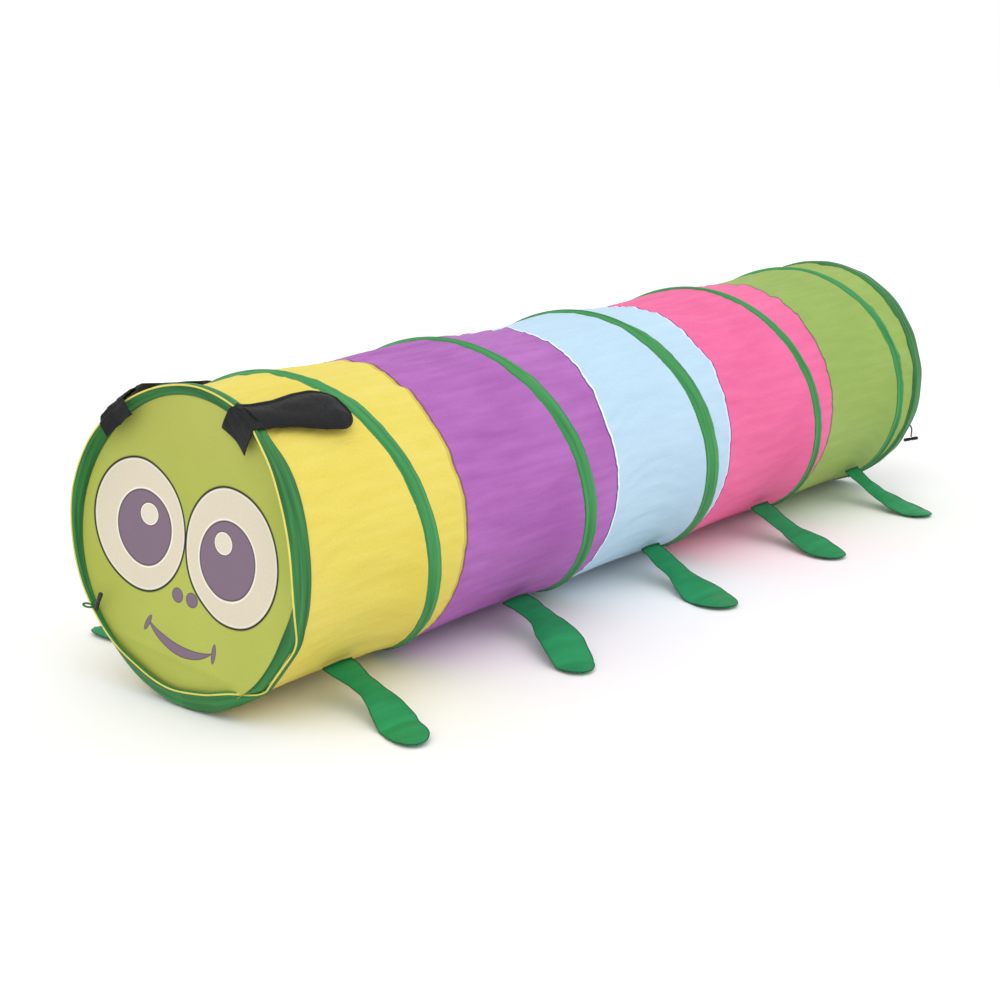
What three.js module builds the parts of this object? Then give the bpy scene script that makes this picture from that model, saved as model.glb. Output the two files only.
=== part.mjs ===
// A pop-up crawl tunnel shaped like a many-legged bug, for children or for a small dog's agility course.
// A helical spring wire between two wire hoops holds five coloured fabric sections open; a face flap
// closes the front, two padded feelers lie back over the front rim, and five pairs of fabric legs
// spread on the floor. Squeezed along its length, the whole tunnel packs flat between its two hoops.
//
// Millimetres. +X runs from the face to the open rear end, +Z is up, and the near side is -Y.
// The origin is on the floor, under the middle of the tunnel.
import * as THREE from "three";

// ---- driving dimensions ----
const LENGTH = 1820; // outside of one end to the outside of the other
const RIM_R = 234; // outside of the rim bindings and of the wire channels
const CLOTH_R = 230; // outside of the five fabric sections
const CLOTH = 1.2; // fabric with its seam allowances
const BINDING = 0.6; // binding tape and channel tape
const WIRE_R = 1.2; // spring steel wire, 2.4 mm in diameter
const GAP = 0.3; // clearance between pieces that touch
const SIDES = 40; // facets round the tunnel, with one flat at the very bottom
const RIM_WIDTH = 39.5; // width of a rim binding along the tunnel
const SEAMS = [34, 374, 756, 1098, 1457, 1786]; // where each section starts and ends, from the front
const LEG_STATIONS = [168, 588, 965, 1320, 1670]; // middle of each leg pair's stitching
const LEG_LEANS = [-58, -138, -87, -50, -30]; // how far forward of its stitching each foot points
const LEG_ROOT_ANGLE = 42; // degrees round from the bottom where the legs are sewn on
const LEG_REACH = 216; // sideways from the stitching to the tip of a foot
const LEG_THICK = 3; // two layers of fabric and their seam
const FLAP_HINGE = 130; // height of the flap's stitched fold above the tunnel's axis
const FLAP_R = 220; // radius of the face
const FEELER_ANGLES = { near: 29, far: -37 }; // degrees round from the top where they are sewn
const TOGGLE_LENGTH = 34;
const TOGGLE_R = 3.5;
const CORD_R = 1.5;

// The coil's distance from the front at each half and whole turn, starting and ending at the bottom.
const COIL_STATIONS = [34, 205, 378, 573, 768, 940, 1124, 1306, 1490, 1668, 1786];
const CHANNEL_WIDTHS = [25, 30, 40, 22, 28];
const FIRST_CHANNEL_START = 7; // facets of the first turn hidden under the front rim's binding
const LAST_CHANNEL_END = 33; // facets of the last turn in front of the rear rim's binding
const TURNS = 5; // one to each section

// ---- worked out from those ----
const STEP = (2 * Math.PI) / SIDES;
const AXIS_HEIGHT = RIM_R * Math.cos(STEP / 2); // the bottom flats lie on the floor
const COIL_R = CLOTH_R + 0.4 + WIRE_R;
const HOOP_X = 28; // the hoops, measured in from each end
const STRAP_X = 1.5; // thickness kept free in front of each rim for the feelers' straps
const TOGGLE_PROUD = 9; // how far the front toggle and its loop stand in front of the rim
const FRONT = -(LENGTH - STRAP_X - TOGGLE_PROUD) / 2; // puts the origin under the middle

// ---- finishes ----
const finish = (color, roughness, metalness = 0) =>
  new THREE.MeshStandardMaterial({ color, roughness, metalness });
const steel = finish(0x9a9c9e, 0.35, 1);
const greenTape = finish(0x2d9650, 0.6);
const faceCloth = finish(0xb2be55, 0.6);
const legCloth = finish(0x23965f, 0.65);
const blackCloth = finish(0x1e2024, 0.6);
const blackPlastic = finish(0x141414, 0.45);
const sectionCloths = {
  yellow: finish(0xe6d76e, 0.55),
  purple: finish(0xb46ebe, 0.55),
  blue: finish(0xbcd9ec, 0.55),
  pink: finish(0xf06ea0, 0.55),
  green: finish(0x96b45f, 0.55),
};

const tunnel = new THREE.Group();
tunnel.name = "bug_tunnel";
tunnel.position.set(FRONT, 0, AXIS_HEIGHT); // inside it, x counts from the front and the axis is at 0

function add(name, geometry, material) {
  const mesh = new THREE.Mesh(geometry, material);
  mesh.name = name;
  tunnel.add(mesh);
  return mesh;
}

// A shape from [x, y] corners.
function outline(corners) {
  return new THREE.Shape(corners.map(([x, y]) => new THREE.Vector2(x, y)));
}

// Turns an [x, radius] outline about the tunnel's axis, with one flat facet at the bottom.
function ring(corners, sides = SIDES) {
  const profile = corners.map(([x, r]) => new THREE.Vector2(r, x));
  if (THREE.ShapeUtils.isClockWise(profile)) {
    profile.reverse(); // so that the faces point outwards
  }
  const geometry = new THREE.LatheGeometry([...profile, profile[0]], sides, STEP / 2, 2 * Math.PI);
  return geometry.rotateZ(-Math.PI / 2);
}

// Corners of a round wire's section, centred on [x, radius].
function wireSection(x, r, radius, sides = 6) {
  const corners = [];
  for (let i = 0; i < sides; i += 1) {
    const a = ((i + 0.5) / sides) * 2 * Math.PI;
    corners.push([x + radius * Math.cos(a), r + radius * Math.sin(a)]);
  }
  return corners;
}

// Where the coil is, from the front, after a number of turns.
function coilX(turns) {
  const at = Math.min(Math.max(turns * 2, 0), COIL_STATIONS.length - 1);
  const i = Math.min(Math.floor(at), COIL_STATIONS.length - 2);
  return THREE.MathUtils.lerp(COIL_STATIONS[i], COIL_STATIONS[i + 1], at - i);
}

// Extrudes an [x, radius] outline in equal steps and rolls it round the tunnel between two angles,
// counted from the top towards the near side. xAt shifts each step along the tunnel.
function roll(shape, from, to, steps, xAt) {
  const geometry = new THREE.ExtrudeGeometry(shape, { depth: 1, steps, bevelEnabled: false });
  const place = geometry.attributes.position;
  for (let i = 0; i < place.count; i += 1) {
    const along = place.getZ(i);
    const angle = from + (to - from) * along;
    const radius = place.getY(i);
    place.setXYZ(
      i,
      place.getX(i) + xAt(along),
      -radius * Math.sin(angle),
      radius * Math.cos(angle),
    );
  }
  geometry.computeVertexNormals();
  return geometry;
}

// ---- the two ends: hoop, its ferrule and the binding round it ----
function mirrorRing(corners) {
  return corners.map(([x, r]) => [LENGTH - x, r]);
}

const INNER_HEM = 22; // how far in the binding reaches on the inside, up to the face
const rimSection = [
  [STRAP_X, CLOTH_R - 4],
  [STRAP_X, RIM_R],
  [STRAP_X + RIM_WIDTH, RIM_R],
  [STRAP_X + RIM_WIDTH, RIM_R - BINDING],
  [STRAP_X + BINDING, RIM_R - BINDING],
  [STRAP_X + BINDING, CLOTH_R - 4 + BINDING],
  [INNER_HEM, CLOTH_R - 4 + BINDING],
  [INNER_HEM, CLOTH_R - 4],
];
// The rear rim has no strap in front of it, but it stands back by the same amount, so that the
// object's middle stays over its origin.
add("front_rim_binding", ring(rimSection), greenTape);
add("rear_rim_binding", ring(mirrorRing(rimSection)), greenTape);

const hoopSection = wireSection(HOOP_X, CLOTH_R, WIRE_R);
add("front_hoop_wire", ring(hoopSection), steel);
add("rear_hoop_wire", ring(mirrorRing(hoopSection)), steel);

function ferrule(x) {
  const sleeve = outline(wireSection(x, CLOTH_R, WIRE_R + GAP + 0.8));
  sleeve.holes.push(new THREE.Path(outline(wireSection(x, CLOTH_R, WIRE_R + GAP)).getPoints()));
  const middle = 3.5 * STEP;
  return roll(sleeve, middle - STEP, middle + STEP, 2, () => 0);
}
add("front_hoop_ferrule", ferrule(HOOP_X), steel);
add("rear_hoop_ferrule", ferrule(LENGTH - HOOP_X), steel);

// ---- the five fabric sections ----
Object.entries(sectionCloths).forEach(([colour, cloth], i) => {
  const start = SEAMS[i] + (i > 0 ? GAP / 2 : 0);
  const end = SEAMS[i + 1] - (i < TURNS - 1 ? GAP / 2 : 0);
  const wall = [
    [start, CLOTH_R - CLOTH],
    [end, CLOTH_R - CLOTH],
    [end, CLOTH_R],
    [start, CLOTH_R],
  ];
  add(`${colour}_section`, ring(wall), cloth);
});

// ---- the coil, a turn to each section, and the tape channel sewn over it ----
// A channel is a strip of tape: thin where its edges are stitched down, raised over the wire.
function channelSection(width) {
  const low = CLOTH_R + GAP;
  const inside = WIRE_R + 0.6;
  return outline([
    [-width / 2, low],
    [-inside, low],
    [-inside, RIM_R - BINDING],
    [inside, RIM_R - BINDING],
    [inside, low],
    [width / 2, low],
    [inside + BINDING, RIM_R],
    [-inside - BINDING, RIM_R],
  ]);
}

const TURN_STARTS = Math.PI; // each turn starts at the bottom and rises on the far side
for (let turn = 0; turn < TURNS; turn += 1) {
  const from = -TURN_STARTS + STEP / 2;
  const to = from + 2 * Math.PI - GAP / COIL_R;
  const wire = outline(wireSection(0, COIL_R, WIRE_R));
  const wireX = (along) => coilX(turn + along);
  add(`coil_turn_${turn + 1}`, roll(wire, from, to, SIDES, wireX), steel);

  // The first channel starts, and the last one ends, where the wire leaves a rim binding.
  const first = turn === 0 ? FIRST_CHANNEL_START : 0;
  const last = turn === TURNS - 1 ? LAST_CHANNEL_END : SIDES;
  const tape = channelSection(CHANNEL_WIDTHS[turn]);
  const tapeX = (along) => coilX(turn + (first + (last - first) * along) / SIDES);
  const tapeEnd = from + last * STEP - (last === SIDES ? GAP / COIL_R : 0);
  const channel = roll(tape, from + first * STEP, tapeEnd, last - first, tapeX);
  add(`coil_channel_${turn + 1}`, channel, greenTape);
}

// ---- the face: a fixed header above the stitched fold and a flap hanging below it ----
const FACE_THICK = 0.8;
const FACE_X = INNER_HEM + 2;
const foldAngle = Math.asin(FLAP_HINGE / FLAP_R);

function facePiece(drawEdge) {
  const shape = new THREE.Shape();
  drawEdge(shape);
  const settings = { depth: FACE_THICK, bevelEnabled: false, curveSegments: 40 };
  const geometry = new THREE.ExtrudeGeometry(shape, settings);
  geometry.rotateX(Math.PI / 2); // the shape's y becomes up
  geometry.rotateZ(Math.PI / 2); // and its x runs across the tunnel
  return geometry.translate(FACE_X, 0, 0);
}
add("face_header", facePiece((s) => {
  const above = Math.asin((FLAP_HINGE + GAP) / FLAP_R);
  s.absarc(0, 0, FLAP_R, above, Math.PI - above, false);
  s.closePath();
}), faceCloth);
add("face_flap", facePiece((s) => {
  s.absarc(0, 0, FLAP_R, Math.PI - foldAngle, 2 * Math.PI + foldAngle, false);
  s.closePath();
}), faceCloth);

// ---- the feelers: a padded paddle on the tunnel's top, sewn to a strap over the rim ----
const FEELER_ROOT = 48;
const FEELER_TIP = 215;
const FEELER_DRIFTS = { near: -0.13, far: 0 }; // sideways for each millimetre along: the near one droops
const FEELER_THICK = 9;
const STRAP_WIDTH = 58;
const STRAP_THICK = 1.2;

// Stands a group on the tunnel's surface: inside it, x runs along the tunnel, y across the piece
// and z away from the axis, with z 0 on the rim's outside.
function onRim(angle) {
  const group = new THREE.Group();
  group.rotation.x = THREE.MathUtils.degToRad(angle);
  const lifted = new THREE.Group();
  lifted.position.z = RIM_R + GAP;
  group.add(lifted);
  tunnel.add(group);
  return lifted;
}

function paddle(drift) {
  const root = STRAP_WIDTH / 2 - 1;
  const tip = 44;
  const waist = FEELER_ROOT + 45;
  const cheek = FEELER_ROOT + 75;
  const round = FEELER_TIP - tip;
  const side = (x) => drift * (x - FEELER_ROOT);
  const shape = new THREE.Shape();
  shape.moveTo(FEELER_ROOT, -root);
  shape.bezierCurveTo(waist, side(waist) - root, cheek, side(cheek) - tip, round, side(round) - tip);
  shape.absarc(round, side(round), tip, -Math.PI / 2, Math.PI / 2, false);
  shape.bezierCurveTo(cheek, side(cheek) + tip, waist, side(waist) + root, FEELER_ROOT, root);
  shape.closePath();
  const thick = FEELER_THICK;
  return new THREE.ExtrudeGeometry(shape, { depth: thick, bevelEnabled: false, curveSegments: 10 });
}

function strap() {
  const end = FEELER_ROOT - GAP;
  const drop = 46; // how far the strap comes down over the face
  const profile = outline([
    [0, -drop],
    [STRAP_THICK, -drop],
    [STRAP_THICK, 0],
    [end, 0],
    [end, STRAP_THICK],
    [0, STRAP_THICK],
  ]);
  const settings = { depth: STRAP_WIDTH, bevelEnabled: false };
  const geometry = new THREE.ExtrudeGeometry(profile, settings);
  return geometry.rotateX(Math.PI / 2).translate(0, STRAP_WIDTH / 2, 0);
}

for (const [side, angle] of Object.entries(FEELER_ANGLES)) {
  const place = onRim(angle);
  const pad = new THREE.Mesh(paddle(FEELER_DRIFTS[side]), blackCloth);
  pad.name = `feeler_${side}`;
  const tab = new THREE.Mesh(strap(), blackCloth);
  tab.name = `feeler_strap_${side}`;
  place.add(pad, tab);
}

// ---- ten legs, a pair to each section ----
const rootAngle = THREE.MathUtils.degToRad(LEG_ROOT_ANGLE);
const ROOT_Y = (CLOTH_R + 2) * Math.sin(rootAngle);
const ROOT_Z = -(CLOTH_R + 2) * Math.cos(rootAngle);
const FLOOR_Z = -AXIS_HEIGHT;

// A leg's flat outline: x along the tunnel, y out from the stitching, with a neck and a round foot.
function legShape(lean, reach) {
  const shape = new THREE.Shape();
  const foot = 41;
  const footY = reach - foot;
  const leanAt = (y) => (lean * y) / reach;
  shape.moveTo(-36, 0);
  shape.bezierCurveTo(-30 + leanAt(20), 30, leanAt(70) - 26, 70, leanAt(95) - 25, 95);
  shape.bezierCurveTo(leanAt(120) - 25, 120, lean - foot, footY - 40, lean - foot, footY);
  shape.absarc(lean, footY, foot, Math.PI, 0, true);
  shape.bezierCurveTo(lean + foot, footY - 40, leanAt(120) + 25, 120, leanAt(95) + 25, 95);
  shape.bezierCurveTo(leanAt(70) + 26, 70, 30 + leanAt(20), 30, 36, 0);
  shape.closePath();
  return shape;
}

// The legs slope from their stitching down to the floor, where the foot's tip rests.
const slope = Math.asin((ROOT_Z - FLOOR_Z) / LEG_REACH) - LEG_THICK / LEG_REACH / 4;
for (const [side, across] of [["near", -1], ["far", 1]]) {
  LEG_STATIONS.forEach((station, i) => {
    const shape = legShape(LEG_LEANS[i], LEG_REACH);
    const settings = { depth: LEG_THICK, bevelEnabled: false, curveSegments: 6 };
    const geometry = new THREE.ExtrudeGeometry(shape, settings);
    geometry.rotateX(-slope); // the foot goes down to the floor
    geometry.computeBoundingBox();
    if (across < 0) {
      geometry.scale(1, -1, 1);
      flip(geometry);
    }
    const leg = add(`leg_${side}_${i + 1}`, geometry, legCloth);
    leg.position.set(station, across * (ROOT_Y + 1), FLOOR_Z - geometry.boundingBox.min.z);
  });
}

// Turns every triangle over, after a mirror has turned the solid inside out.
function flip(geometry) {
  const place = geometry.attributes.position;
  for (let i = 0; i < place.count; i += 3) {
    const a = new THREE.Vector3().fromBufferAttribute(place, i);
    const b = new THREE.Vector3().fromBufferAttribute(place, i + 1);
    place.setXYZ(i, b.x, b.y, b.z);
    place.setXYZ(i + 1, a.x, a.y, a.z);
  }
}

// ---- the toggles that keep the packed tunnel closed ----
function toggleBar() {
  const flat = TOGGLE_LENGTH / 2 - TOGGLE_R;
  const half = [new THREE.Vector2(0, -TOGGLE_LENGTH / 2)];
  for (let i = 1; i <= 3; i += 1) {
    const a = (i / 3) * (Math.PI / 2);
    half.push(new THREE.Vector2(TOGGLE_R * Math.sin(a), -flat - TOGGLE_R * Math.cos(a)));
  }
  const other = half.map((p) => new THREE.Vector2(p.x, -p.y)).reverse();
  return new THREE.LatheGeometry([...half, ...other], 10);
}

// Front toggle: its bar lies against the far side of the front rim, held by a short tape loop.
const frontBar = add("front_toggle_bar", toggleBar(), blackPlastic);
const FRONT_TOGGLE = new THREE.Vector3(-TOGGLE_R - 1, 170, -103);
frontBar.position.copy(FRONT_TOGGLE);
frontBar.rotation.x = THREE.MathUtils.degToRad(117);

const loopShape = outline([[-5, -20], [5, -20], [5, 4], [-5, 4]]);
loopShape.holes.push(new THREE.Path([[-4, -19], [4, -19], [4, 3], [-4, 3]].map(
  ([x, y]) => new THREE.Vector2(x, y),
)));
const loopGeometry = new THREE.ExtrudeGeometry(loopShape, { depth: 8, bevelEnabled: false });
const frontLoop = add("front_toggle_loop", loopGeometry, greenTape);
frontLoop.position.set(5 - TOGGLE_PROUD, 203, -118);

// Rear toggle: a short cord hangs from the near side of the rear rim, with a bar on its end.
const REAR_EXIT = new THREE.Vector3(LENGTH - STRAP_X + GAP, -208, -93);
const cordRoute = [
  [0, 0, 0],
  [3, 0, 0],
  [6.5, -1, -3],
  [8.5, -2.5, -10],
  [8.5, -2.5, -17],
  [8, -2, -26],
].map(([x, y, z]) => new THREE.Vector3(x, y, z).add(REAR_EXIT));
const cordEnd = cordRoute[cordRoute.length - 1];
const cordSection = outline(wireSection(0, 0, CORD_R, 8));
const cordPath = new THREE.CatmullRomCurve3(cordRoute);
const cordSettings = { steps: 12, extrudePath: cordPath, bevelEnabled: false };
add("rear_toggle_cord", new THREE.ExtrudeGeometry(cordSection, cordSettings), blackCloth);
const rearBar = add("rear_toggle_bar", toggleBar(), blackPlastic);
rearBar.position.set(cordEnd.x, cordEnd.y, cordEnd.z - TOGGLE_R - 3 * GAP);
rearBar.rotation.x = THREE.MathUtils.degToRad(-17);

export default tunnel;
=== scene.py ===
# %% [markdown]
# # A bug-shaped pop-up crawl tunnel
#
# The real thing is thin polyester held open by one long spring wire. Nothing in it is rigid except
# the wire, so almost every piece here is a sheet of cloth. Each sheet starts as a flat grid, which
# is then rolled, draped or creased into place. A flat start keeps an honest UV map in metres, and
# the weave, the stitching and the printed face all read that map, so they follow the cloth.

# %% Load the frame
import math
import bpy
import numpy as np
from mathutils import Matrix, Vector, noise


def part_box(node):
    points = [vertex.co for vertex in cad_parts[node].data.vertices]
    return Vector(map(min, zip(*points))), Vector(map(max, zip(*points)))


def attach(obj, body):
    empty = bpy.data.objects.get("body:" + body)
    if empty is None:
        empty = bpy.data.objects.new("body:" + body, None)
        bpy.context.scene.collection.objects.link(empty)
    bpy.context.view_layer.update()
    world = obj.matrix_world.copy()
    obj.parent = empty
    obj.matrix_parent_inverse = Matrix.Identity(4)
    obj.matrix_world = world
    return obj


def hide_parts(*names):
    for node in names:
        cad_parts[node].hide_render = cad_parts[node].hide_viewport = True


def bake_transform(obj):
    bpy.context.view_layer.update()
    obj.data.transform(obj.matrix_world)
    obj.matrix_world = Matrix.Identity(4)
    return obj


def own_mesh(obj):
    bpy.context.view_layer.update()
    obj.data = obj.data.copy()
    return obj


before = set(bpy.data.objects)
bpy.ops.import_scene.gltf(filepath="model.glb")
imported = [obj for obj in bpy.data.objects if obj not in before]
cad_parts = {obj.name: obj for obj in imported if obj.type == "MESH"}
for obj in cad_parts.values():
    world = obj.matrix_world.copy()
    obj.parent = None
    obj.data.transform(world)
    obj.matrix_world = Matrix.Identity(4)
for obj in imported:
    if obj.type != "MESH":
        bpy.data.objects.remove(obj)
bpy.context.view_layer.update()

# %% [markdown]
# ## Sizes
#
# The frame gives the tunnel's ends and the height of its axis. Places along the tunnel are counted
# from the front, and places round it as an angle from the top towards the near side (-Y).

# %% Sizes taken from the frame
rim_low, rim_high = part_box("front_rim_binding")
rear_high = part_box("rear_rim_binding")[1]
AXIS_Z = (rim_low.z + rim_high.z) / 2
RIM_INSET = 0.0015  # the CAD rims lie this far inside the ends that places are counted from
FRONT = rim_low.x - RIM_INSET
LENGTH = rear_high.x + RIM_INSET - FRONT
CLOTH_R = 0.2305
LOWEST = 0.0006  # the cloth rests on the floor and never sinks into it
FRONT_HOOP, REAR_HOOP = 0.024, LENGTH - 0.028
COLOURS = ["yellow", "purple", "blue", "pink", "green"]
SEAMS = [0.034, 0.374, 0.756, 1.098, 1.457, 1.786]
STATIONS = [0.168, 0.588, 0.965, 1.320, 1.670]
COIL = [0.034, 0.205, 0.378, 0.573, 0.768, 0.940, 1.124, 1.306, 1.490, 1.668, 1.786]
CHANNEL_WIDTHS = [0.030, 0.034, 0.040, 0.026, 0.029]
FRONT_TAPE, REAR_TAPE, RIM_GIRTH = 0.056, 0.065, 1.46  # the tape laid flat, in metres
CLOTH, DOUBLED = 0.0005, 0.0006  # how thick one layer is, and the rims' folded tape
WIRE_R = 0.0012

# %% [markdown]
# ## The camera
#
# The camera stands in front of the face and to the near side, a little above the tunnel, and looks
# slightly down. It comes first, because the looks are judged through it.

# %% Camera
AZIMUTH, ELEVATION = math.radians(-50.79), math.radians(14.61)
camera_data = bpy.data.cameras.new("camera")
camera_data.lens = 67.56
camera_data.sensor_width = 36
camera = bpy.data.objects.new("camera", camera_data)
bpy.context.scene.collection.objects.link(camera)
camera.location = (FRONT - 1.680, -1.9635, AXIS_Z + 0.742)
toward_camera = Vector((math.sin(AZIMUTH) * math.cos(ELEVATION),
                        -math.cos(AZIMUTH) * math.cos(ELEVATION), math.sin(ELEVATION)))
camera.rotation_euler = (-toward_camera).to_track_quat("-Z", "Y").to_euler()
bpy.context.scene.camera = camera

# %% [markdown]
# ## Shapes that every cloth piece shares
#
# The coil is a helix that starts at the bottom of the front hoop and climbs the far side first.
# Between two turns the cloth is pulled in a little, and at each wire it stands out, so the radius
# of the cloth is worked out once, from the distance to the wires on either side.


# %% Helpers: places on the tunnel
def curve_through(values, at):
    """A smooth curve through evenly spaced values, read at fractional places."""
    v = np.array([2 * values[0] - values[1], *values, 2 * values[-1] - values[-2]])
    at = np.clip(at, 0, len(values) - 1 - 1e-6)
    i = np.floor(at).astype(int)
    f = at - i
    a, b, c, d = v[i], v[i + 1], v[i + 2], v[np.minimum(i + 3, len(v) - 1)]
    return 0.5 * (2 * b + (c - a) * f + (2 * a - 5 * b + 4 * c - d) * f**2
                  + (3 * b - 3 * c + d - a) * f**3)


def coil_at(turns):
    """Distance of the coil from the front after some turns, which start at the bottom."""
    return curve_through(COIL, np.asarray(turns) * 2)


def on_tunnel(along, angle, radius):
    """Points from distance along the tunnel, angle from the top and distance from the axis."""
    along, angle, radius = np.broadcast_arrays(along, angle, radius)
    up = np.maximum(AXIS_Z + radius * np.cos(angle), LOWEST)
    return np.stack([FRONT + along, -radius * np.sin(angle), up], -1)


def rough(points, scale, seed):
    """Smooth noise from about -1 to 1 at an array of points, with its own scale on each axis."""
    moved = points * np.array(scale) + seed
    return np.array([noise.noise(Vector(p)) for p in moved.reshape(-1, 3)]).reshape(moved.shape[:-1])


def wires_beside(along, angle):
    """The nearest wires before and after each point, counting the hoops."""
    part = ((angle + math.pi) / (2 * math.pi)) % 1
    lines = [np.full_like(along, FRONT_HOOP)]
    lines += [coil_at(turn + part) for turn in range(len(COLOURS))]
    lines += [np.full_like(along, REAR_HOOP)]
    lines = np.array(lines)
    before = np.where(lines <= along, lines, 0).max(0)
    after = np.where(lines > along, lines, LENGTH).min(0)
    return before, after


SAG = 0.0062  # how far the cloth is pulled in, half way between two wires


def cloth_radius(along, angle):
    """Distance of the cloth from the axis: sag between the wires, folds and puckers."""
    along, angle = np.broadcast_arrays(np.asarray(along, float), np.asarray(angle, float))
    before, after = wires_beside(along, angle)
    share = np.clip((along - before) / np.maximum(after - before, 1e-4), 0, 1)
    slack = 4 * share * (1 - share)
    twisted = angle + 0.9 * np.sin(along * 9.0) * 0.35
    place = np.stack([along, np.cos(twisted), np.sin(twisted)], -1)
    folds = rough(place, (3.4, 6.0, 6.0), 3.7) * 0.0036 + rough(place, (6.0, 15.0, 15.0), 9.1) * 0.0021
    creases = np.abs(rough(place, (4.5, 10.0, 10.0), 21.3)) ** 0.6 * -0.0026
    from_seam = np.min(np.abs(along[..., None] - np.array(SEAMS[1:-1])), -1)
    pucker = rough(place, (14.0, 26.0, 26.0), 31.9) * 0.0011 * np.exp(-from_seam / 0.022)
    top = 0.5 + 0.5 * np.cos(angle)
    size = np.sqrt(np.clip(slack, 0, 1)) * (0.40 + 1.05 * top**1.5)
    return CLOTH_R - SAG * slack * (after - before) / 0.37 + (folds + creases) * size + pucker


# %% [markdown]
# A sheet starts as a flat grid. Its vertices are moved into place by a function of u and v, which
# run from 0 to 1 along its two sides, and its UV map is stretched to the cloth's size in metres.


# %% Helper: a sheet from a grid
def sheet(name, columns, rows, place, size, closed=False, flip=False):
    """Adds a grid, moves it into place, joins its edges if closed, and leaves it smooth."""
    bpy.ops.object.select_all(action="DESELECT")
    bpy.ops.mesh.primitive_grid_add(x_subdivisions=columns, y_subdivisions=rows, size=1)
    piece = bpy.context.object
    piece.name = piece.data.name = name
    flat = np.empty(len(piece.data.vertices) * 3)
    piece.data.vertices.foreach_get("co", flat)
    u, v = flat.reshape(-1, 3)[:, 0] + 0.5, flat.reshape(-1, 3)[:, 1] + 0.5
    piece.data.vertices.foreach_set("co", place(u, v).astype(np.float32).ravel())
    layer = piece.data.uv_layers.active
    uv = np.empty(len(layer.data) * 2)
    layer.data.foreach_get("uv", uv)
    layer.data.foreach_set("uv", (uv.reshape(-1, 2) * np.array(size)).ravel())
    piece.data.update()
    bpy.ops.object.mode_set(mode="EDIT")
    bpy.ops.mesh.select_all(action="SELECT")
    if closed:
        bpy.ops.mesh.remove_doubles(threshold=2e-5)
    if flip:
        bpy.ops.mesh.flip_normals()
    bpy.ops.object.mode_set(mode="OBJECT")
    bpy.ops.object.shade_smooth()
    return piece


def thicken(piece, thickness, offset=-1.0):
    """Gives a sheet its thickness with an applied Solidify modifier."""
    bpy.context.view_layer.objects.active = piece
    solid = piece.modifiers.new("thickness", "SOLIDIFY")
    solid.thickness = thickness
    solid.offset = offset
    bpy.ops.object.modifier_apply(modifier=solid.name)


def face_outward(piece, fill):
    """Fills a piece's open ends, if asked, and turns its faces outward."""
    bpy.context.view_layer.objects.active = piece
    bpy.ops.object.mode_set(mode="EDIT")
    bpy.ops.mesh.select_all(action="SELECT")
    if fill:
        bpy.ops.mesh.fill_holes(sides=0)
        bpy.ops.mesh.select_all(action="SELECT")
    bpy.ops.mesh.normals_make_consistent(inside=False)
    bpy.ops.object.mode_set(mode="OBJECT")


def tube_along(name, line, radius, sides=8, closed=False):
    """A round cord or wire along a line of points, with closed ends unless it is a ring."""
    line = np.array(line, float)
    steps = len(line)
    if closed:
        forward = np.roll(line, -1, 0) - np.roll(line, 1, 0)
    else:
        forward = np.gradient(line, axis=0)
    forward /= np.linalg.norm(forward, axis=1)[:, None]
    hint = np.array([0.0, 0.0, 1.0]) if abs(forward[:, 2]).max() < 0.9 else np.array([0.31, 0.2, 0.93])
    side = np.cross(forward, hint)
    side /= np.linalg.norm(side, axis=1)[:, None]
    up = np.cross(side, forward)

    def place(u, v):
        i = np.clip(np.round(v * (steps - 1)).astype(int), 0, steps - 1)
        a = u * 2 * math.pi
        return line[i] + radius * (np.cos(a)[:, None] * side[i] + np.sin(a)[:, None] * up[i])

    length = float(np.linalg.norm(np.diff(line, axis=0), axis=1).sum())
    piece = sheet(name, sides, steps - 1, place, (2 * math.pi * radius, length), closed=True)
    face_outward(piece, fill=not closed)
    return piece


def join(name, pieces):
    """Joins several pieces into the first, which keeps each one's material."""
    bpy.ops.object.select_all(action="DESELECT")
    for piece in pieces:
        piece.select_set(True)
    bpy.context.view_layer.objects.active = pieces[0]
    bpy.ops.object.join()
    pieces[0].name = pieces[0].data.name = name
    return pieces[0]


# %% [markdown]
# ## Materials
#
# Every fabric is the same light taffeta in another colour, so one function makes them all. Its
# colour wanders a little, as thin dyed cloth over a shaded inside does, and two crossed bands of
# wave make the weave. Plain numbers are set on the shader's own sockets.


# %% Helpers: nodes and colours
def linear(red, green, blue):
    """A shader colour from the red, green and blue that a screen shows, each 0 to 255."""
    def one(c):
        c /= 255
        return c / 12.92 if c <= 0.04045 else ((c + 0.055) / 1.055) ** 2.4
    return (one(red), one(green), one(blue), 1.0)


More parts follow.
